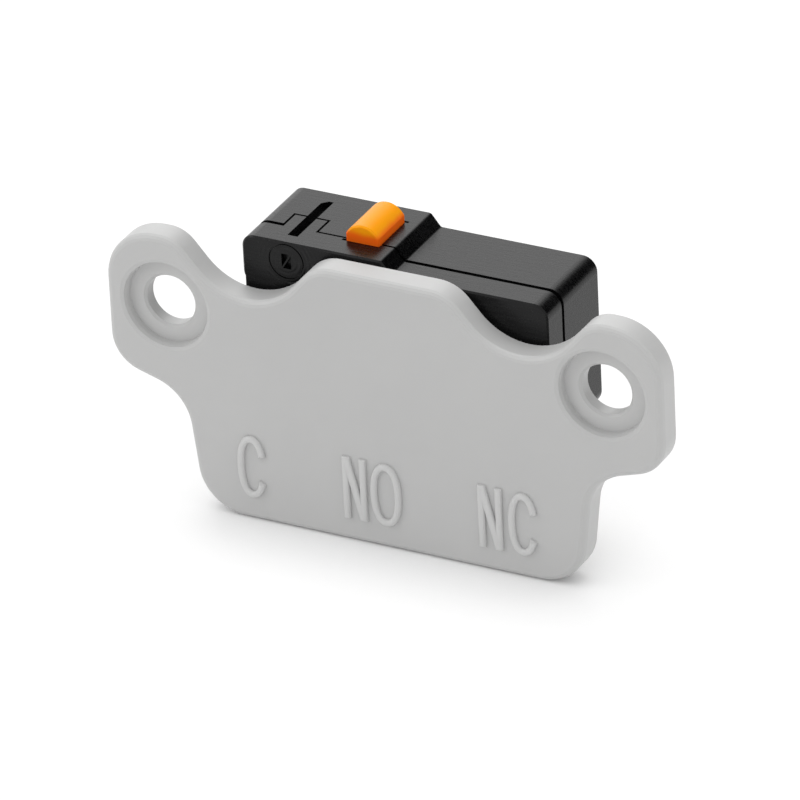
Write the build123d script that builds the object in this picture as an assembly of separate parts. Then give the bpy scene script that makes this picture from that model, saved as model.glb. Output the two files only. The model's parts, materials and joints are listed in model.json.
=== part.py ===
from build123d import *
import os
from math import atan2, cos, degrees, radians, sqrt, tan

# Auxiliary contact block: a subminiature snap-action switch staked to a moulded plate with two
# screw ears. Millimetres. X runs along the plate, Y away from its front face, Z up.
# The origin is midway between the two screw holes, on the plate's flat back face.

# Mounting plate
plate_thickness = 2.0
plate_height = 17.7
hole_pitch = 28.3
hole_to_top = 4.46
ear_margin = 3.85
screw_hole_d = 3.2
counterbore_d = 5.3
counterbore_depth = 0.65
counterbore_draft_angle = 5.0
counterbore_rim_radius = 0.3
screw_hole_mouth = 0.15
screw_hole_back_chamfer = 0.45
flank_angle = 49.0
hump_corner_x = 4.3
hump_radius = 2.4
valley_radius = 4.15
ear_inner_offset = 0.7
ear_inner_radius = 2.0
ear_outer_radius = 3.3
ear_foot_drop = 4.35
ear_foot_angle = 17.0
ear_foot_radius = 2.4
skirt_bottom_x = 12.37
skirt_draft_angle = 6.6
skirt_neck_radius = 3.0
skirt_bottom_radius = 3.0
plate_front_radius = 0.45
plate_back_chamfer = 0.3

# Switch housing and cover
switch_length = 19.8
switch_thickness = 6.6
switch_low_height = 9.7
raised_top_rise = 0.79
step_from_plunger = 2.0
step_angle = 38.0
case_corner_radii = (0.9, 0.8, 0.25, 0.2, 0.9, 1.0)
case_edge_chamfer = 0.1
inner_corner_radius = 0.3
wall = 1.0
face_wall = 0.9
cover_depth = 1.8
rim_wall = 0.5
lip_height = 0.5
lip_clearance = 0.05
seam_width = 0.15
wide_seam_width = 0.3
seam_depth = 0.3
end_relief = 0.15
end_relief_top = 8.05
end_relief_slope = 0.25

# Pegs of the plate, staked behind the switch
peg_pitch = 9.5
peg_hole_d = 2.35
peg_clearance = 0.03
peg_boss_d = 4.0
peg_head_d = 3.4
peg_head_height = 0.7
peg_head_chamfer = 0.35

# Slot for an external lever, in the raised top, and the cover's tongue round it
slot_from_end = 2.9
slot_width = 0.66
slot_front = 0.9
slot_back = 5.5
slot_depth = 0.7
slot_corner_chamfer = 0.35
slot_ramp_length = 1.5
slot_ramp_rise = 0.35
tongue_width = 2.1
tongue_reach = 3.3
tongue_clearance = 0.03

# Mould mark on the cover's face: a round insert's outline round two small pockets
mark_height = 9.24
mark_d = 2.3
mark_groove = 0.08
pocket_width = 0.62
pocket_height = 0.95
pocket_rib = 0.07
pocket_depth = 0.35

# Plunger
plunger_from_end = 7.1
plunger_width = 2.15
plunger_depth = 3.4
plunger_side_height = 0.45
plunger_crest_height = 1.12
plunger_clearance = 0.05
plunger_end_chamfer = 0.1
opening_relief = 0.2
flange_reach = 0.5
flange_thickness = 0.37
flange_gap = 0.08
nose_radius = 0.5
nose_drop = 0.22
nose_length = 2.0
nose_gap = 0.03

# Terminals, stamped from one strip
strip = 0.5
tab_width = 2.8
tab_length = 7.38
tab_hole_d = 1.2
tab_hole_from_tip = 2.1
tab_tip_chamfer = 0.6
strip_bend_radius = 0.45
slot_fit = 0.03
com_from_end = 1.6
com_to_no = 8.8
nc_from_end = 2.1
nc_to_contact = 1.5
lower_arm_past_contact = 0.75
upper_arm_past_contact = 0.9
arm_to_ceiling = 0.1
arm_to_boss = 0.1

# Contacts
contact_d = 1.6
contact_head = 0.4
contact_shank_d = 0.8
contact_tail_d = 1.2
contact_tail = 0.15
contact_edge_chamfer = 0.1
rivet_clearance = 0.01
contact_gap = 0.02
contact_travel = 0.51

# Contact lever, on knife edges in the common terminal's two prongs
pivot_to_plunger = 1.82
prong_rise = 0.575
prong_slot = 1.4
groove_depth = 0.25
knife_tip_gap = 0.03
knife_half_angle = 34.0
leaf = 0.3
leaf_past_contact = 0.8
window_width = 1.5
window_to_hole = 0.85
hole_to_contact = 3.7
spring_hole_d = 0.5

# Actuating lever, on a bead that turns in pockets in the case
hinge_from_end = 1.7
hinge_drop = 0.2
bead_d = 0.8
bead_clearance = 0.05
bead_pocket_depth = 0.5
bead_end_gap = 0.05
arm_width = 2.4
arm_past_plunger = 0.9
anchor_from_hinge = 1.9
anchor_rise = 0.125
anchor_tab_width = 0.9
anchor_tab_below = 0.35
anchor_hole_d = 0.45

# Snap spring
wire_d = 0.2
wire_sides = 5
coil_mean_radius = 0.4
coil_turns = 5
coil_from_anchor = 3.3
coil_from_hole = 1.6
wire_bend_radius = 0.18
hook_drop = 0.52
hook_reach = 0.42

# Places along the plate
plate_top = hole_to_top
plate_bottom = hole_to_top - plate_height
plate_half_width = hole_pitch / 2 + ear_margin
hole_places = (-hole_pitch / 2, hole_pitch / 2)
peg_places = (-peg_pitch / 2, peg_pitch / 2)

# Places along the switch
case_half = switch_length / 2
slot_x = slot_from_end - case_half
plunger_x = plunger_from_end - case_half
step_top_x = plunger_x + step_from_plunger
com_x = com_from_end - case_half
no_x = com_x + com_to_no
nc_x = case_half - nc_from_end
contact_x = nc_x - nc_to_contact
pivot_x = plunger_x - pivot_to_plunger
spring_hole_x = contact_x - hole_to_contact
hinge_x = hinge_from_end - case_half
arm_end = plunger_x + arm_past_plunger
anchor_x = hinge_x + anchor_from_hinge
coil_start = anchor_x + coil_from_anchor
coil_end = spring_hole_x - coil_from_hole

# Depths in the switch
mid_y = switch_thickness / 2
inner_half_depth = mid_y - face_wall

# Heights: the tabs end level with the plate's lower edge, and the contacts hang from the top
case_base = plate_bottom + tab_length
case_low_top = case_base + switch_low_height
case_high_top = case_low_top + raised_top_rise
upper_arm_z = case_low_top - wall - arm_to_ceiling - contact_tail - strip / 2
contact_faces_gap = contact_travel + 2 * contact_gap
arm_spacing = strip + 4 * contact_head + leaf + contact_faces_gap
lower_arm_z = upper_arm_z - arm_spacing
peg_z = lower_arm_z - strip / 2 - arm_to_boss - peg_boss_d / 2
pivot_z = (upper_arm_z + lower_arm_z) / 2
prong_top = pivot_z + prong_rise
flange_top = case_high_top - wall - flange_gap
flange_low = flange_top - flange_thickness
nose_z = flange_low - nose_drop + nose_radius
arm_z = nose_z - nose_radius - nose_gap - leaf / 2
hinge_z = arm_z - hinge_drop
anchor_z = pivot_z + anchor_rise


def slab(face, front, back):
    """The XZ outline, drawn in XY, as a solid from Y = front to Y = back."""
    return extrude(Plane.XZ.offset(-front) * face, amount=back - front, dir=(0, 1, 0))


def rod(x, z, front, back, diameter):
    """A round rod along Y."""
    return slab(Pos(x, z) * Circle(diameter / 2), front, back)


def upright(x, low, high, diameter):
    """A round rod along Z, in the middle of the switch's thickness."""
    return extrude(Plane((x, mid_y, low)) * Circle(diameter / 2), amount=high - low)


def block(x0, x1, y0, y1, z0, z1):
    """A box between two corners."""
    centre = Pos((x0 + x1) / 2, (y0 + y1) / 2, (z0 + z1) / 2)
    return centre * Box(x1 - x0, y1 - y0, z1 - z0)


def drawn(*points):
    """A closed outline of straight sides."""
    return make_face(Polyline(*points, close=True))


def bent_strip(points, thickness, bend, width):
    """A strip bent in the XZ plane along a centreline, centred in the switch's thickness."""
    line = FilletPolyline(*points, radius=bend)
    return slab(trace(line, line_width=thickness), mid_y - width / 2, mid_y + width / 2)


def plate_outline():
    slope = tan(radians(flank_angle))
    ear_inner_x = hole_pitch / 2 - ear_inner_offset
    valley_x = (hump_corner_x + ear_inner_x) / 2
    valley_z = plate_top - slope * (valley_x - hump_corner_x)
    foot_slope = tan(radians(ear_foot_angle))
    draft = tan(radians(skirt_draft_angle))
    foot_z = -ear_foot_drop
    span = plate_half_width - skirt_bottom_x - draft * (foot_z - plate_bottom)
    neck_drop = foot_slope * span / (1 - foot_slope * draft)
    neck_z = foot_z - neck_drop
    neck_x = skirt_bottom_x + draft * (neck_z - plate_bottom)
    corners = [
        (hump_corner_x, plate_top, hump_radius),
        (valley_x, valley_z, valley_radius),
        (ear_inner_x, plate_top, ear_inner_radius),
        (plate_half_width, plate_top, ear_outer_radius),
        (plate_half_width, foot_z, ear_foot_radius),
        (neck_x, neck_z, skirt_neck_radius),
        (skirt_bottom_x, plate_bottom, skirt_bottom_radius),
    ]
    mirrored = [(-x, z, radius) for x, z, radius in reversed(corners)]
    ring = corners + mirrored
    points = [(x, z) for x, z, radius in ring]
    radii = [radius for x, z, radius in ring]
    return make_face(FilletPolyline(*points, radius=radii, close=True))


def screw_seat():
    """What a screw hole, its counterbore and their softened rims take out of the plate."""
    hole = screw_hole_d / 2
    floor = counterbore_d / 2
    floor_y = counterbore_depth - plate_thickness
    rim = floor + (counterbore_depth - counterbore_rim_radius) * tan(radians(counterbore_draft_angle))
    shoulder = counterbore_rim_radius * (1 - sqrt(0.5))
    profile = drawn(
        (0, 0),
        (hole + screw_hole_back_chamfer, 0),
        (hole, -screw_hole_back_chamfer),
        (hole, floor_y + screw_hole_mouth),
        (hole + screw_hole_mouth, floor_y),
        (floor, floor_y),
        (rim, counterbore_rim_radius - plate_thickness),
        (rim + shoulder, shoulder - plate_thickness),
        (rim + counterbore_rim_radius, -plate_thickness),
        (0, -plate_thickness),
    )
    return revolve(profile, axis=Axis.Y)


def softened_front(plate):
    """Rounds the plate's front edge in three bands, tangent to a quarter circle."""
    middle = plate_front_radius * (2 - sqrt(2))
    outer = plate_front_radius * (tan(radians(22.5)) - tan(radians(11.25)))
    front = plate.faces().sort_by(Axis.Y)[0]
    plate = chamfer(front.edges(), middle)
    rings = [-plate_thickness, middle - plate_thickness]
    edges = plate.edges().filter_by(lambda edge: min(abs(edge.center().Y - y) for y in rings) < 0.001)
    return chamfer(edges, outer)


def mounting_plate():
    plate = softened_front(slab(plate_outline(), -plate_thickness, 0))
    back = plate.faces().sort_by(Axis.Y)[-1]
    plate = chamfer(back.edges(), plate_back_chamfer)
    for x in hole_places:
        plate -= Pos(x, 0, 0) * screw_seat()
    for x in peg_places:
        plate += staked_peg(x)
    return plate


def staked_peg(x):
    peg = rod(x, peg_z, -plate_thickness / 2, switch_thickness, peg_hole_d - 2 * peg_clearance)
    head = rod(x, peg_z, switch_thickness, switch_thickness + peg_head_height, peg_head_d)
    head = chamfer(head.edges().sort_by(Axis.Y)[-1], peg_head_chamfer)
    return peg + head


def step_x(z, inset):
    """X of the sloped step in the switch's top, for an outline moved inwards."""
    slope = radians(step_angle)
    return step_top_x + (case_high_top - z) * tan(slope) - inset / cos(slope)


def case_outline(inset=0.0):
    left = -case_half + inset
    right = case_half - inset
    base = case_base + inset
    high = case_high_top - inset
    low = case_low_top - inset
    points = [
        (left, base),
        (left, high),
        (step_x(high, inset), high),
        (step_x(low, inset), low),
        (right, low),
        (right, base),
    ]
    least = inner_corner_radius if inset else 0
    radii = [max(radius - inset, least) for radius in case_corner_radii]
    return make_face(FilletPolyline(*points, radius=radii, close=True))


def plunger_opening():
    """The plunger's opening, with small reliefs in its front left and rear right corners."""
    left = plunger_x - plunger_width / 2 - plunger_clearance
    right = plunger_x + plunger_width / 2 + plunger_clearance
    front = mid_y - plunger_depth / 2 - plunger_clearance
    back = mid_y + plunger_depth / 2 + plunger_clearance
    low = case_high_top - 2 * wall
    high = case_high_top + wall
    opening = block(left, right, front, back, low, high)
    opening += block(left - opening_relief, left, front, front + opening_relief, low, high)
    return opening + block(right, right + opening_relief, back - opening_relief, back, low, high)


def lever_slot():
    """The slot, with a chamfered rear corner and a floor that ramps up to the rear."""
    low = case_high_top - slot_depth
    left = slot_x - slot_width / 2
    right = slot_x + slot_width / 2
    plan = drawn(
        (left, slot_front),
        (right, slot_front),
        (right, slot_back),
        (left + slot_corner_chamfer, slot_back),
        (left, slot_back - slot_corner_chamfer),
    )
    slot = extrude(Plane.XY.offset(low) * plan, amount=slot_depth + wall)
    ramp = drawn((slot_back - slot_ramp_length, low), (slot_back, low), (slot_back, low + slot_ramp_rise))
    return slot - extrude(Plane.YZ.offset(left) * ramp, amount=slot_width)


def tongue(clearance, depth):
    half = tongue_width / 2 + clearance
    back = tongue_reach + clearance
    low = case_high_top - depth
    return block(slot_x - half, slot_x + half, cover_depth - lip_height, back, low, case_high_top)


def end_step():
    """The shallow step in the switch's left end."""
    top = case_base + end_relief_top
    outside = -case_half - wall
    below = case_base - wall
    step = drawn(
        (-case_half, top),
        (-case_half + end_relief, top - end_relief_slope),
        (-case_half + end_relief, below),
        (outside, below),
        (outside, top),
    )
    return slab(step, 0, switch_thickness)


def case_cuts():
    """What is cut through both shells."""
    cuts = plunger_opening() + lever_slot() + end_step()
    for x in peg_places:
        cuts += rod(x, peg_z, 0, switch_thickness, peg_hole_d)
    pocket_d = bead_d + 2 * bead_clearance
    front = face_wall - bead_pocket_depth
    back = switch_thickness - face_wall + bead_pocket_depth
    return cuts + rod(hinge_x, hinge_z, front, back, pocket_d)


def mould_mark():
    """The round groove and the two pockets, parted by a thin slanting rib, in the cover's face."""
    z = case_base + mark_height
    mark = rod(slot_x, z, 0, mark_groove, mark_d)
    mark -= rod(slot_x, z, 0, mark_groove, mark_d - 2 * mark_groove)
    half_x = pocket_width / 2
    half_z = pocket_height / 2
    upper = drawn((-half_x, -half_z + pocket_rib), (-half_x, half_z), (half_x - pocket_rib, half_z))
    lower = drawn((half_x, half_z - pocket_rib), (half_x, -half_z), (-half_x + pocket_rib, -half_z))
    for half in (upper, lower):
        mark += slab(Pos(slot_x, z) * half, 0, pocket_depth)
    return mark


def switch_cover():
    cover = slab(case_outline(), 0, cover_depth)
    front = cover.faces().sort_by(Axis.Y)[0]
    cover = chamfer(front.edges(), case_edge_chamfer)
    cover -= slab(case_outline(wall), face_wall, cover_depth)
    rebate = case_outline(rim_wall - lip_clearance)
    cover -= slab(rebate, cover_depth - lip_height - lip_clearance, cover_depth)
    for x in peg_places:
        cover += rod(x, peg_z, face_wall / 2, cover_depth, peg_boss_d)
    cover += tongue(0, wall)
    return cover - case_cuts() - mould_mark()


def terminal_slot(x):
    half = strip / 2 + slot_fit
    front = cover_depth - lip_height
    back = mid_y + tab_width / 2 + slot_fit
    return block(x - half, x + half, front, back, case_base - wall, case_base + 2 * wall)


def switch_housing():
    housing = slab(case_outline(), cover_depth, switch_thickness)
    back = housing.faces().sort_by(Axis.Y)[-1]
    housing = chamfer(back.edges(), case_edge_chamfer)
    seam = case_outline() - case_outline(seam_depth)
    housing -= slab(seam, cover_depth, cover_depth + seam_width)
    wide_seam = slab(seam, cover_depth, cover_depth + wide_seam_width)
    narrow_part = block(
        slot_x - tongue_width / 2, step_x(case_low_top, 0), 0, switch_thickness, peg_z, case_high_top + wall
    )
    housing -= wide_seam - narrow_part
    housing -= slab(case_outline(wall), cover_depth, switch_thickness - face_wall)
    ring = case_outline(rim_wall) - case_outline(wall)
    housing += slab(ring, cover_depth - lip_height, cover_depth)
    for x in peg_places:
        housing -= rod(x, peg_z, cover_depth - lip_height, cover_depth, peg_boss_d + 2 * lip_clearance)
        housing += rod(x, peg_z, cover_depth, switch_thickness - face_wall / 2, peg_boss_d)
    housing -= tongue(tongue_clearance, wall + tongue_clearance)
    housing -= tongue(seam_width, seam_depth)
    for x in (com_x, no_x, nc_x):
        housing -= terminal_slot(x)
    return housing - case_cuts()


def plunger():
    side_top = case_high_top + plunger_side_height
    crest = case_high_top + plunger_crest_height
    half = plunger_width / 2
    front = mid_y - plunger_depth / 2
    back = mid_y + plunger_depth / 2
    outline = Line((half, flange_low), (half, side_top))
    outline += ThreePointArc((half, side_top), (0, crest), (-half, side_top))
    outline += Polyline((-half, side_top), (-half, flange_low), (half, flange_low))
    body = slab(Pos(plunger_x, 0) * make_face(outline), front, back)
    rims = body.faces().sort_by(Axis.Y)[0].edges() + body.faces().sort_by(Axis.Y)[-1].edges()
    rims = rims.filter_by(lambda edge: edge.center().Z > flange_top)
    body = chamfer(rims, plunger_end_chamfer)
    body += block(
        plunger_x - half, plunger_x + half, front - flange_reach, back + flange_reach, flange_low, flange_top
    )
    half_nose = nose_length / 2
    return body + rod(plunger_x, nose_z, mid_y - half_nose, mid_y + half_nose, 2 * nose_radius)


def finish_tab(terminal, x):
    """Cuts the tab's hole and tapers its tip."""
    tip = case_base - tab_length
    hole = Plane((x - strip, mid_y, tip + tab_hole_from_tip), z_dir=(1, 0, 0))
    terminal -= extrude(hole * Circle(tab_hole_d / 2), amount=2 * strip)
    corners = terminal.edges().filter_by(Axis.X)
    corners = corners.filter_by(lambda edge: abs(edge.center().Z - tip) < 0.01)
    return chamfer(corners, tab_tip_chamfer, tab_tip_chamfer / 2)


def rivet_hole(terminal, z):
    return terminal - upright(contact_x, z - strip, z + strip, contact_shank_d + 2 * rivet_clearance)


def com_terminal():
    prong_x = pivot_x + groove_depth - knife_tip_gap - strip / 2
    points = [
        (com_x, case_base - tab_length),
        (com_x, lower_arm_z),
        (prong_x, lower_arm_z),
        (prong_x, prong_top),
    ]
    terminal = bent_strip(points, strip, strip_bend_radius, tab_width)
    half = prong_slot / 2
    terminal -= block(
        prong_x - strip, prong_x + strip, mid_y - half, mid_y + half, lower_arm_z + strip, prong_top + strip
    )
    face_x = prong_x + strip / 2
    groove = drawn(
        (face_x - groove_depth, pivot_z),
        (face_x, pivot_z + groove_depth),
        (face_x + groove_depth, pivot_z),
        (face_x, pivot_z - groove_depth),
    )
    terminal -= slab(groove, 0, switch_thickness)
    return finish_tab(terminal, com_x)


def no_terminal():
    arm_tip = contact_x + lower_arm_past_contact
    points = [(no_x, case_base - tab_length), (no_x, lower_arm_z), (arm_tip, lower_arm_z)]
    terminal = bent_strip(points, strip, strip_bend_radius, tab_width)
    return finish_tab(rivet_hole(terminal, lower_arm_z), no_x)


def nc_terminal():
    arm_tip = contact_x - upper_arm_past_contact
    points = [(nc_x, case_base - tab_length), (nc_x, upper_arm_z), (arm_tip, upper_arm_z)]
    terminal = bent_strip(points, strip, strip_bend_radius, tab_width)
    return finish_tab(rivet_hole(terminal, upper_arm_z), nc_x)


def contact_button(low, high, rim):
    """A round contact face with its rim chamfered: rim is -1 for the top edge, 0 for the bottom."""
    button = upright(contact_x, low, high, contact_d)
    return chamfer(button.edges().sort_by(Axis.Z)[rim], contact_edge_chamfer)


def rivet(face_z, direction):
    """A contact rivet whose head stands on face_z and whose tail is behind the strip."""
    head = contact_button(0, contact_head, -1)
    shank = upright(contact_x, -strip, 0, contact_shank_d)
    tail = upright(contact_x, -strip - contact_tail, -strip, contact_tail_d)
    whole = head + shank + tail
    if direction < 0:
        whole = mirror(whole, Plane.XY)
    return Pos(0, 0, face_z) * whole


def contact_lever_angle():
    """Tilt of the contact lever, in degrees, against either fixed contact."""
    rise = (contact_travel + 2 * contact_gap) / 2 - contact_gap
    return degrees(atan2(rise, contact_x - pivot_x))


def tilted(shape):
    """A shape drawn level, turned about the knife edges to the upper contact."""
    pivot = Pos(pivot_x, 0, pivot_z)
    return pivot * Rot(Y=-contact_lever_angle()) * Pos(-pivot_x, 0, -pivot_z) * shape


def contact_lever():
    half = leaf / 2
    tip = contact_x + leaf_past_contact
    run = half / tan(radians(knife_half_angle))
    profile = drawn(
        (pivot_x, pivot_z),
        (pivot_x + run, pivot_z + half),
        (tip, pivot_z + half),
        (tip, pivot_z - half),
        (pivot_x + run, pivot_z - half),
    )
    lever = slab(profile, mid_y - tab_width / 2, mid_y + tab_width / 2)
    half_window = window_width / 2
    window_end = spring_hole_x - window_to_hole
    lever -= block(
        pivot_x - leaf, window_end, mid_y - half_window, mid_y + half_window, pivot_z - leaf, pivot_z + leaf
    )
    lever -= upright(spring_hole_x, pivot_z - leaf, pivot_z + leaf, spring_hole_d)
    hole_d = contact_shank_d + 2 * rivet_clearance
    lever -= upright(contact_x, pivot_z - leaf, pivot_z + leaf, hole_d)
    return tilted(lever)


def moving_contact():
    low = pivot_z - leaf / 2
    high = pivot_z + leaf / 2
    upper = contact_button(high, high + contact_head, -1)
    lower = contact_button(low - contact_head, low, 0)
    return tilted(upper + upright(contact_x, low, high, contact_shank_d) + lower)


def actuating_lever():
    half = arm_width / 2
    arm = block(hinge_x, arm_end, mid_y - half, mid_y + half, arm_z - leaf / 2, arm_z + leaf / 2)
    reach = inner_half_depth + bead_pocket_depth - bead_end_gap
    bead = rod(hinge_x, hinge_z, mid_y - reach, mid_y + reach, bead_d)
    half = anchor_tab_width / 2
    left = anchor_x - leaf / 2
    tab = block(left, left + leaf, mid_y - half, mid_y + half, anchor_z - anchor_tab_below, arm_z)
    hole = Plane((anchor_x - leaf, mid_y, anchor_z), z_dir=(1, 0, 0))
    return arm + bead + tab - extrude(hole * Circle(anchor_hole_d / 2), amount=2 * leaf)


def wire_along(path, **sweep_options):
    section = Plane(path @ 0, z_dir=path % 0) * RegularPolygon(wire_d / 2, wire_sides)
    return sweep(section, path=path, **sweep_options)


def wire(points):
    """Wire along straight runs in the XZ plane with rounded bends."""
    return wire_along(FilletPolyline(*[(x, mid_y, z) for x, z in points], radius=wire_bend_radius))


def snap_spring():
    tilt = tan(radians(contact_lever_angle()))
    hook_z = pivot_z + tilt * (spring_hole_x - pivot_x)
    slope = (hook_z - anchor_z) / (spring_hole_x - anchor_x)

    def on_axis(x):
        return Vector(x, mid_y, anchor_z + slope * (x - anchor_x))

    start = on_axis(coil_start)
    along = on_axis(coil_end) - start
    coil_line = Helix(along.length / coil_turns, along.length, coil_mean_radius, center=start, direction=along)
    left = [
        (coil_start, on_axis(coil_start).Z),
        (anchor_x - hook_reach, anchor_z),
        (anchor_x - hook_reach, anchor_z - hook_drop),
        (anchor_x + hook_reach, anchor_z - hook_drop),
    ]
    rise = leaf / 2 + wire_bend_radius + wire_d / 2
    right = [
        (coil_end, on_axis(coil_end).Z),
        (spring_hole_x - 2 * hook_reach, hook_z + rise),
        (spring_hole_x, hook_z + rise),
        (spring_hole_x, hook_z - hook_drop),
        (spring_hole_x - hook_reach, hook_z - hook_drop),
    ]
    spring = wire_along(coil_line, is_frenet=True) + wire(left) + wire(right)
    for end, x in ((coil_line @ 0, coil_start), (coil_line @ 1, coil_end)):
        spoke = end - on_axis(x)
        lap = spoke.normalized() * wire_d / 2
        section = Plane(on_axis(x) - lap, z_dir=spoke) * RegularPolygon(wire_d / 2, wire_sides)
        spring += extrude(section, amount=spoke.length + wire_d)
    return spring


nodes = {
    "mounting_plate": mounting_plate(),
    "switch_cover": switch_cover(),
    "switch_housing": switch_housing(),
    "plunger": plunger(),
    "actuating_lever": actuating_lever(),
    "contact_lever": contact_lever(),
    "moving_contact": moving_contact(),
    "snap_spring": snap_spring(),
    "com_terminal": com_terminal(),
    "no_terminal": no_terminal(),
    "nc_terminal": nc_terminal(),
    "no_fixed_contact": rivet(lower_arm_z + strip / 2, 1),
    "nc_fixed_contact": rivet(upper_arm_z - strip / 2, -1),
}

os.makedirs("parts", exist_ok=True)
for name, shape in nodes.items():
    export_step(shape, f"parts/{name}.step")
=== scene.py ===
import json
import math

import bpy
from mathutils import Matrix, Vector


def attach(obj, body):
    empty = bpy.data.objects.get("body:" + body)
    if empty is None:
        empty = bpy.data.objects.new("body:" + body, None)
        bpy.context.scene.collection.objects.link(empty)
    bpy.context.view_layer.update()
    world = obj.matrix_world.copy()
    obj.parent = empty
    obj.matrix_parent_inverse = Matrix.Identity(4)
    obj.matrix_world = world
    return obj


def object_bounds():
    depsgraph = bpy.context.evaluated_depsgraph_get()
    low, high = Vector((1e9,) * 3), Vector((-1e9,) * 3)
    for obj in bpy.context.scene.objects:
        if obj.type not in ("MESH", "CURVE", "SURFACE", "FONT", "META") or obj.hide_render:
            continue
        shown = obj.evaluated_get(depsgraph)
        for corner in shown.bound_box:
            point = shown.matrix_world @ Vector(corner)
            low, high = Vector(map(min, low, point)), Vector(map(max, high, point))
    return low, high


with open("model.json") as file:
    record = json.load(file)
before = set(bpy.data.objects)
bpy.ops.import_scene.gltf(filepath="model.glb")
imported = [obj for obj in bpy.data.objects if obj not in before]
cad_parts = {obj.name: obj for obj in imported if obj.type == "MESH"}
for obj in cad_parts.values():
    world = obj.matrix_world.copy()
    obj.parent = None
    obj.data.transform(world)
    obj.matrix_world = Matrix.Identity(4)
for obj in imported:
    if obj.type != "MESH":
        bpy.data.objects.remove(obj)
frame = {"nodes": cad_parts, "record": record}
bpy.context.view_layer.update()
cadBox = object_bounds()
cadNodes = frame["nodes"]
mm = 0.001
print("frame loaded:", len(cadNodes), "nodes")


def addObject(name, data):
    made = bpy.data.objects.new(name, data)
    bpy.context.scene.collection.objects.link(made)
    return made


# Shader building

class Value:  # a node's output; sums on it add Math nodes
    def __init__(self, finish, socket):
        self.finish = finish
        self.socket = socket

    def __add__(self, other):
        return self.finish.math("ADD", self, other)

    def __radd__(self, other):
        return self.finish.math("ADD", other, self)

    def __sub__(self, other):
        return self.finish.math("SUBTRACT", self, other)

    def __rsub__(self, other):
        return self.finish.math("SUBTRACT", other, self)

    def __mul__(self, other):
        return self.finish.math("MULTIPLY", self, other)

    def __rmul__(self, other):
        return self.finish.math("MULTIPLY", other, self)


class Finish:  # the nodes of one material, or of the world
    def __init__(self, owner, shader="Principled BSDF", **sockets):
        owner.use_nodes = True
        self.tree = owner.node_tree
        self.shader = self.tree.nodes[shader]
        self.set(**sockets)

    def feed(self, socket, value):
        if isinstance(value, Value):
            self.tree.links.new(value.socket, socket)
        else:
            socket.default_value = value

    def node(self, kind, settings=None, sockets=None, out=0):
        made = self.tree.nodes.new(kind)
        for key, value in (settings or {}).items():
            setattr(made, key, value)
        for key, value in (sockets or {}).items():
            self.feed(made.inputs[key], value)
        return Value(self, made.outputs[out])

    def math(self, operation, first, second=0.0):
        return self.node("ShaderNodeMath", {"operation": operation}, {0: first, 1: second})

    def where(self, stretch=(1, 1, 1), turn=(0, 0, 0)):  # the point on the part, in millimetres
        point = self.node("ShaderNodeTexCoord", out="Object")
        scale = [1 / mm / s for s in stretch]
        sockets = {"Vector": point, "Rotation": turn, "Scale": scale}
        return self.node("ShaderNodeMapping", {"vector_type": "POINT"}, sockets)

    def noise(self, size, detail=2.0, roughness=0.5, stretch=(1, 1, 1), turn=(0, 0, 0)):
        sockets = {
            "Vector": self.where(stretch, turn),
            "Scale": 1 / size,
            "Detail": detail,
            "Roughness": roughness,
        }
        return self.node("ShaderNodeTexNoise", {}, sockets, out="Fac")

    def fade(self, value, low, high):  # 0 below low, 1 above high
        sockets = {"Value": value, "From Min": low, "From Max": high}
        return self.node("ShaderNodeMapRange", {"interpolation_type": "SMOOTHSTEP"}, sockets)

    def blend(self, factor, first, second):
        sockets = {"Factor": factor, 6: first, 7: second}
        return self.node("ShaderNodeMix", {"data_type": "RGBA"}, sockets, out=2)

    def bump(self, height, depth):  # depth in millimetres for a height from 0 to 1
        sockets = {"Height": height, "Strength": 1.0, "Distance": depth * mm}
        return self.node("ShaderNodeBump", {}, sockets)

    def seenDirectly(self):  # 1 for what camera, gloss or glass sees, 0 for the light on the part
        outs = ("Is Camera Ray", "Is Glossy Ray", "Is Transmission Ray")
        camera, gloss, glass = [self.node("ShaderNodeLightPath", out=out) for out in outs]
        return self.math("MAXIMUM", camera, self.math("MAXIMUM", gloss, glass))

    def set(self, **sockets):
        for socket, value in sockets.items():
            self.feed(self.shader.inputs[socket.replace("_", " ")], value)


def rgb(red, green, blue):
    return (red, green, blue, 1.0)


def newMaterial(name):
    return bpy.data.materials.new(name)


# Finishes

satinGrey = {
    "pale": rgb(0.535, 0.535, 0.53),
    "deep": rgb(0.505, 0.505, 0.503),
    "cloudSize": 5.0,
    "grainSize": 0.09,
    "grainDepth": 0.004,
    "roughness": 0.42,
    "roughnessSpread": 0.1,
}

smoothPaintedLitGrey = {  # the letters' smoother faces, their grey made paler as painted light where the raised letters catch the light
    **satinGrey,
    "pale": rgb(0.605, 0.605, 0.6),
    "deep": rgb(0.575, 0.575, 0.572),
    "grainDepth": 0.002,
    "roughness": 0.34,
}


def makeGrey(name, s):
    material = newMaterial(name)
    finish = Finish(material)
    clouds = finish.noise(s["cloudSize"], detail=3)
    grain = finish.noise(s["grainSize"], detail=2)
    finish.set(
        Base_Color=finish.blend(clouds, s["deep"], s["pale"]),
        Roughness=s["roughness"] + s["roughnessSpread"] * (grain - 0.5),
        Normal=finish.bump(grain, s["grainDepth"]),
    )
    return material


scuffedBlack = {
    "dark": rgb(0.0018, 0.0018, 0.002),
    "worn": rgb(0.005, 0.005, 0.0053),
    "gloss": 0.225,
    "grainSize": 0.14,
    "grainRoughness": 0.62,
    "grainDepth": 0.006,
    "streakSize": 0.16,
    "streakStretch": (9, 1, 1),
    "streakTurn": (0, 0, math.radians(-38)),
    "streakDepth": 0.006,
    "cloudSize": 3.0,
    "streakShare": 0.6,
    "wearFrom": 0.4,
    "wearTo": 0.62,
    "roughness": 0.24,
    "roughnessSpread": 0.2,
    "wornRoughness": 0.05,
}

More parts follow.
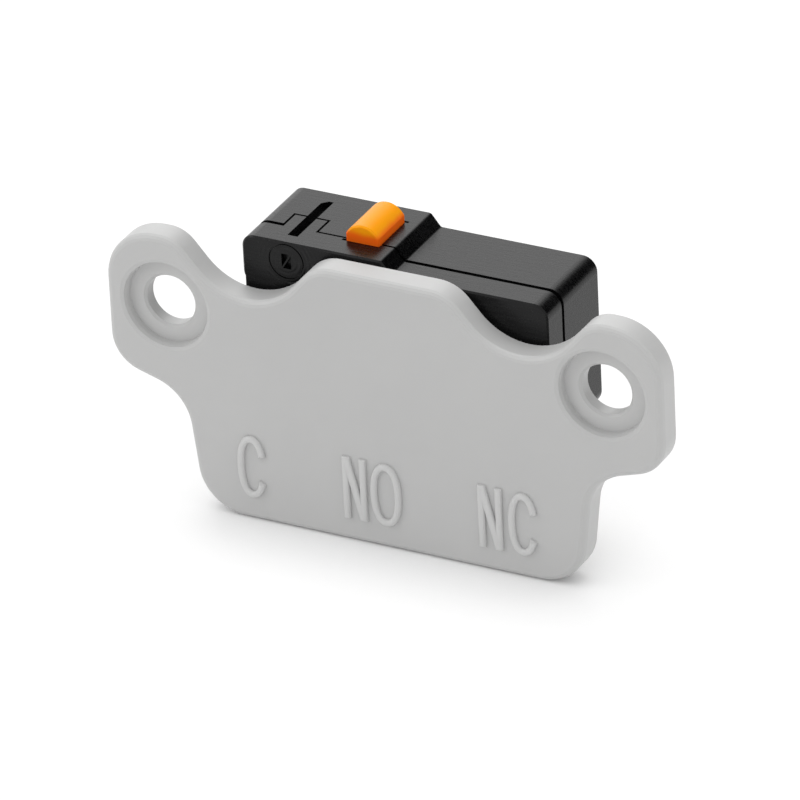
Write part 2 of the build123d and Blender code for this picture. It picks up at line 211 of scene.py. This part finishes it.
mouldRings = {
    "spacing": 0.28,
    "fullReach": 1.25,
    "reach": 2.5,
    "depth": 0.022,
    "patchSize": 1.1,
    "patchFrom": 0.4,
    "patchTo": 0.65,
    "faceDepth": 0.1,
}


def makeScuffedBlack(name, markCentre=None):
    s = scuffedBlack
    material = newMaterial(name)
    finish = Finish(material, Specular_IOR_Level=s["gloss"])
    grain = finish.noise(s["grainSize"], detail=4, roughness=s["grainRoughness"])
    streaks = finish.noise(
        s["streakSize"], detail=3, stretch=s["streakStretch"], turn=s["streakTurn"]
    )
    clouds = finish.noise(s["cloudSize"], detail=3)
    mixed = streaks * s["streakShare"] + clouds * (1 - s["streakShare"])
    wear = finish.fade(mixed, s["wearFrom"], s["wearTo"])
    height = grain * s["grainDepth"] + streaks * s["streakDepth"]
    if markCentre:
        height = height + turnedRings(finish, markCentre)
    roughness = s["roughness"] + s["roughnessSpread"] * (grain - 0.5)
    finish.set(
        Base_Color=finish.blend(wear, s["dark"], s["worn"]),
        Roughness=roughness + s["wornRoughness"] * wear,
        Normal=finish.bump(height, 1.0),
    )
    return material


def turnedRings(finish, centre):  # faint rings on the face round the mark, as a height in mm
    s = mouldRings
    point = finish.where()
    kind = "ShaderNodeVectorMath"
    offset = finish.node(kind, {"operation": "SUBTRACT"}, {0: point, 1: centre})
    flat = finish.node(kind, {"operation": "MULTIPLY"}, {0: offset, 1: (1, 0, 1)})
    radius = finish.node(kind, {"operation": "LENGTH"}, {0: flat}, out="Value")
    behind = finish.node("ShaderNodeSeparateXYZ", {}, {"Vector": offset}, out="Y")
    wave = finish.math("SINE", radius * (2 * math.pi / s["spacing"]))
    near = 1 - finish.fade(radius, s["fullReach"], s["reach"])
    onFace = 1 - finish.fade(behind, 0, s["faceDepth"])
    patches = finish.fade(finish.noise(s["patchSize"]), s["patchFrom"], s["patchTo"])
    return wave * near * onFace * patches * (s["depth"] / 2)


# The orange's base colour holds painted light and shade: lighter and yellower at the top, redder
# lower down.
glossyOrange = {
    "crest": rgb(1.0, 0.36, 0.002),
    "paintedShadedFoot": rgb(1.0, 0.15, 0.008),
    "footHeight": 5.0,
    "crestHeight": 5.45,
    "cloudSize": 1.2,
    "cloudLift": 0.3,
    "gloss": 0.12,
    "grainSize": 0.12,
    "grainDepth": 0.002,
    "roughness": 0.3,
    "roughnessSpread": 0.12,
    "scatter": 0.25,
    "scatterDepth": 0.5,
    "scatterReach": (1.0, 0.35, 0.1),
}


def makeGlossyOrange(name):
    s = glossyOrange
    material = newMaterial(name)
    finish = Finish(
        material,
        Subsurface_Weight=s["scatter"],
        Subsurface_Scale=s["scatterDepth"] * mm,
        Subsurface_Radius=s["scatterReach"],
        Specular_IOR_Level=s["gloss"],
    )
    height = finish.node("ShaderNodeSeparateXYZ", {}, {"Vector": finish.where()}, out="Z")
    clouds = finish.noise(s["cloudSize"], detail=3)
    grain = finish.noise(s["grainSize"], detail=3)
    uneven = height + s["cloudLift"] * (clouds - 0.5)
    # painted light: the share of the lit crest colour, by height on the part
    paintedLightShare = finish.fade(uneven, s["footHeight"], s["crestHeight"])
    finish.set(
        Base_Color=finish.blend(paintedLightShare, s["paintedShadedFoot"], s["crest"]),
        Roughness=s["roughness"] + s["roughnessSpread"] * (grain - 0.5),
        Normal=finish.bump(grain, s["grainDepth"]),
    )
    return material


metals = {
    "plated_brass": {"tone": (0.80, 0.78, 0.70), "roughness": 0.3, "stretch": (1, 1, 14)},
    "spring_bronze": {"tone": (0.80, 0.50, 0.27), "roughness": 0.28, "stretch": (14, 1, 1)},
    "spring_steel": {"tone": (0.66, 0.66, 0.67), "roughness": 0.22, "stretch": (10, 1, 1)},
    "silver": {"tone": (0.92, 0.91, 0.88), "roughness": 0.25, "stretch": (1, 1, 1)},
}

metalWear = {
    "markSize": 0.06,
    "markDepth": 0.0015,
    "markRoughness": 0.18,
    "stainSize": 1.8,
    "stainFrom": 0.35,
    "stainTo": 0.7,
    "stainTone": 0.86,
    "stainRoughness": 0.1,
}


def makeMetal(name, tone, roughness, stretch):  # rolled or turned metal with fine drawing marks
    s = metalWear
    material = newMaterial(name)
    finish = Finish(material, Metallic=1.0)
    marks = finish.noise(s["markSize"], detail=3, stretch=stretch)
    stain = finish.noise(s["stainSize"], detail=4)
    clean = finish.fade(stain, s["stainFrom"], s["stainTo"])
    dull = [s["stainTone"] * c for c in tone]
    rough = roughness + s["markRoughness"] * (marks - 0.5) + s["stainRoughness"] * (stain - 0.5)
    finish.set(
        Base_Color=finish.blend(clean, rgb(*dull), rgb(*tone)),
        Roughness=rough,
        Normal=finish.bump(marks, s["markDepth"]),
    )
    return material


def dress(nodeName, material):
    for slot in cadNodes[nodeName].material_slots:
        slot.material = material


markPlace = (-7.0, 0, 3.38)  # centre of the mould mark on the cover
greyPlastic = makeGrey("satinGrey", satinGrey)
letterPlastic = makeGrey("smoothPaintedLitGrey", smoothPaintedLitGrey)
blackPlastic = makeScuffedBlack("scuffedBlack")
coverPlastic = makeScuffedBlack("scuffedBlackCover", markPlace)
orangePlastic = makeGlossyOrange("glossyOrange")
dress("mounting_plate", greyPlastic)
dress("switch_cover", coverPlastic)
dress("switch_housing", blackPlastic)
dress("plunger", orangePlastic)
metalFinish = {slot: makeMetal(slot, **look) for slot, look in metals.items()}
for part in frame["record"]["subparts"]:
    if part["material_slot"] in metalFinish:
        dress(part["node"], metalFinish[part["material_slot"]])
print("finishes made")


# Terminal letters, raised on the plate

letterStyle = {
    "height": 4.12,
    "stroke": 0.44,
    "slantStroke": 0.5,
    "raise": 0.25,
    "sink": 0.13,
    "softEdge": 0.18,
    "baseline": -11.68,
    "narrow": 1.56,
    "round": 2.02,
    "open": 1.9,
    "squareness": 2.25,
    "openingTop": 20,
    "openingBottom": 332,
    "steps": 72,
    "openSteps": 60,
    "edgeSteps": 3,
    "sharpAngle": 50,
    "weldReach": 0.001,
}


def outlineN():
    s = letterStyle
    wide, high, stroke, slant = s["narrow"], s["height"], s["stroke"], s["slantStroke"]
    run = wide - slant
    return [[
        (0, 0),
        (stroke, 0),
        (stroke, high * (1 - stroke / run)),
        (run, 0),
        (wide, 0),
        (wide, high),
        (wide - stroke, high),
        (wide - stroke, high * stroke / run),
        (slant, high),
        (0, high),
    ]]


def roundPoint(angle, inset, wide):  # a point on a round letter's outline, moved inwards
    s = letterStyle
    halfWide = wide / 2 - inset
    halfHigh = s["height"] / 2 - inset
    power = 2 / s["squareness"]
    c, n = math.cos(angle), math.sin(angle)
    x = halfWide * math.copysign(abs(c) ** power, c)
    z = halfHigh * math.copysign(abs(n) ** power, n)
    return (wide / 2 + x, s["height"] / 2 + z)


def outlineO():
    s = letterStyle
    steps = [2 * math.pi * i / s["steps"] for i in range(s["steps"])]
    outer = [roundPoint(a, 0, s["round"]) for a in steps]
    inner = [roundPoint(a, s["stroke"], s["round"]) for a in reversed(steps)]
    return [outer, inner]


def outlineC():
    s = letterStyle
    first, last = math.radians(s["openingTop"]), math.radians(s["openingBottom"])
    steps = [first + (last - first) * i / s["openSteps"] for i in range(s["openSteps"] + 1)]
    outer = [roundPoint(a, 0, s["open"]) for a in steps]
    inner = [roundPoint(a, s["stroke"], s["open"]) for a in reversed(steps)]
    return [outer + inner]


def raisedWord(name, letters):  # letters: an outline and the X of its left side, in millimetres
    s = letterStyle
    curve = bpy.data.curves.new(name, "CURVE")
    curve.dimensions = "2D"
    curve.fill_mode = "BOTH"
    for outlines, left in letters:
        for outline in outlines:
            spline = curve.splines.new("POLY")
            spline.points.add(len(outline) - 1)
            for point, (x, z) in zip(spline.points, outline):
                point.co = (left + x, s["baseline"] + z, 0, 1)
            spline.use_cyclic_u = True
    curve.bevel_depth = s["softEdge"]
    curve.bevel_resolution = s["edgeSteps"]
    curve.offset = -s["softEdge"]
    curve.extrude = (s["raise"] + s["sink"]) / 2 - s["softEdge"]
    drawn = bpy.data.objects.new(name + "Curve", curve)
    mesh = bpy.data.meshes.new_from_object(drawn)
    bpy.data.objects.remove(drawn)
    mesh.name = name
    front = cadBox[0].y / mm
    middle = front + (s["sink"] - s["raise"]) / 2
    place = Matrix(((1, 0, 0, 0), (0, 0, -1, middle), (0, 1, 0, 0), (0, 0, 0, 1)))
    mesh.transform(Matrix.Scale(mm, 4) @ place)
    mesh.materials.clear()
    mesh.materials.append(letterPlastic)
    word = addObject(name, mesh)
    weld = word.modifiers.new("weld", "WELD")
    weld.merge_threshold = s["weldReach"] * mm
    mesh.shade_smooth()
    mesh.set_sharp_from_angle(angle=math.radians(s["sharpAngle"]))
    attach(word, "block")


raisedWord("common_letter", [(outlineC(), -9.85)])
raisedWord("normally_open_letters", [(outlineN(), -2.89), (outlineO(), -1.09)])
raisedWord("normally_closed_letters", [(outlineN(), 5.94), (outlineC(), 7.87)])
print("letters raised")


# Camera at the photograph's viewing angle

photoView = {
    "azimuth": 28.37,
    "elevation": 28.9,
    "roll": 2.85,
    "focalPixels": 9200,
    "imagePixels": 800,
    "sensorWidth": 36,
    "clipStart": 0.01,
    "clipEnd": 20,
    "distance": 533.3,
    "right": 0.888,
    "up": 2.142,
    "target": (0.15, -2.3, -5.56),
}


def placeCamera():
    s = photoView
    a, e, r = [math.radians(s[key]) for key in ("azimuth", "elevation", "roll")]
    back = Vector((math.sin(a) * math.cos(e), -math.cos(a) * math.cos(e), math.sin(e)))
    level = Vector((math.cos(a), math.sin(a), 0))
    upright = Vector((-math.sin(a) * math.sin(e), math.cos(a) * math.sin(e), math.cos(e)))
    right = math.cos(r) * level - math.sin(r) * upright
    up = math.sin(r) * level + math.cos(r) * upright
    place = Vector(s["target"]) + s["right"] * right + s["up"] * up + s["distance"] * back
    data = bpy.data.cameras.new("photoCamera")
    data.sensor_width = s["sensorWidth"]
    data.lens = s["sensorWidth"] * s["focalPixels"] / s["imagePixels"]
    data.clip_start = s["clipStart"]
    data.clip_end = s["clipEnd"]
    camera = addObject("photoCamera", data)
    turn = Matrix((right, up, back)).transposed().to_4x4()
    camera.matrix_world = Matrix.Translation(place * mm) @ turn
    bpy.context.scene.camera = camera


placeCamera()
print("camera placed")


# Floor, backdrop and lamps

studio = {
    "floorHalf": 3.0,
    "floorTone": 0.9,
    "floorRoughness": 0.9,
    "floorGlow": 1.1,
    "glowShare": 0.7,
    "contactReach": 6.5,
    "contactOpen": 0.46,
    "contactSamples": 4,
    "skyTone": 0.69,
}

lamps = {
    "overhead": {"place": (-0.1, 0.12, 0.55), "size": 0.5, "watts": 1.05},
    "left": {"place": (-0.5, -0.35, 0.35), "size": 0.35, "watts": 0.85},
    "behind": {"place": (-0.25, 0.46, 0.28), "size": 0.4, "watts": 0.57},
    "right": {"place": (0.55, -0.05, 0.25), "size": 0.3, "watts": 0.3},
}

darkCard = {  # what the switch's sloped step mirrors
    "place": (0.22, 0.26, 0.09),
    "size": 0.4,
    "tone": 0.003,
}


def squareMesh(name, half, z):
    mesh = bpy.data.meshes.new(name)
    corners = [(-half, -half, z), (half, -half, z), (half, half, z), (-half, half, z)]
    mesh.from_pydata(corners, [], [(0, 1, 2, 3)])
    return mesh


def makeFloor():
    s = studio
    mesh = squareMesh("floor", s["floorHalf"], cadBox[0].z)
    floor = addObject("floor", mesh)
    tone = s["floorTone"]
    paper = newMaterial("floorPaper")
    finish = Finish(paper, Base_Color=rgb(tone, tone, tone), Roughness=s["floorRoughness"])
    glow = finish.node("ShaderNodeEmission", {}, {"Strength": s["floorGlow"]})
    samples = {"samples": s["contactSamples"]}
    reach = {"Distance": s["contactReach"] * mm}
    openness = finish.node("ShaderNodeAmbientOcclusion", samples, reach, out="AO")
    # close to the part the floor glows less by its ambient occlusion: a painted contact shadow
    # laid over the floor's real shadow
    clear = finish.fade(openness, s["contactOpen"], 1.0)
    share = finish.seenDirectly() * clear * s["glowShare"]
    sockets = {0: share, 1: Value(finish, finish.shader.outputs[0]), 2: glow}
    mixed = finish.node("ShaderNodeMixShader", {}, sockets)
    finish.feed(finish.tree.nodes["Material Output"].inputs["Surface"], mixed)
    mesh.materials.append(paper)


def makeSky():
    world = bpy.data.worlds.new("studioSky")
    bpy.context.scene.world = world
    sky = Finish(world, "Background", Color=rgb(1, 1, 1))
    tone = studio["skyTone"]
    sky.set(Strength=tone + (1 - tone) * sky.seenDirectly())


def facingPart(place):  # the turn of a lamp or card at this place that looks at the part
    return (-Vector(place)).to_track_quat("-Z", "Y")


def makeDarkCard():
    s = darkCard
    mesh = squareMesh("darkCard", s["size"] / 2, 0)
    mesh.transform(Matrix.Translation(s["place"]) @ facingPart(s["place"]).to_matrix().to_4x4())
    felt = newMaterial("blackFelt")
    tone = s["tone"]
    Finish(felt, Base_Color=rgb(tone, tone, tone), Roughness=1.0, Specular_IOR_Level=0.0)
    mesh.materials.append(felt)
    card = addObject("darkCard", mesh)
    card.visible_camera = False
    card.visible_diffuse = False
    card.visible_shadow = False


def makeLamp(name, place, size, watts):
    data = bpy.data.lights.new(name, "AREA")
    data.size = size
    data.energy = watts
    lamp = addObject(name, data)
    lamp.location = place
    lamp.rotation_euler = facingPart(place).to_euler()


makeFloor()
makeSky()
makeDarkCard()
for name, lamp in lamps.items():
    makeLamp(name, **lamp)
bpy.context.scene.view_settings.view_transform = "Standard"
print("studio lit")

bpy.context.view_layer.update()
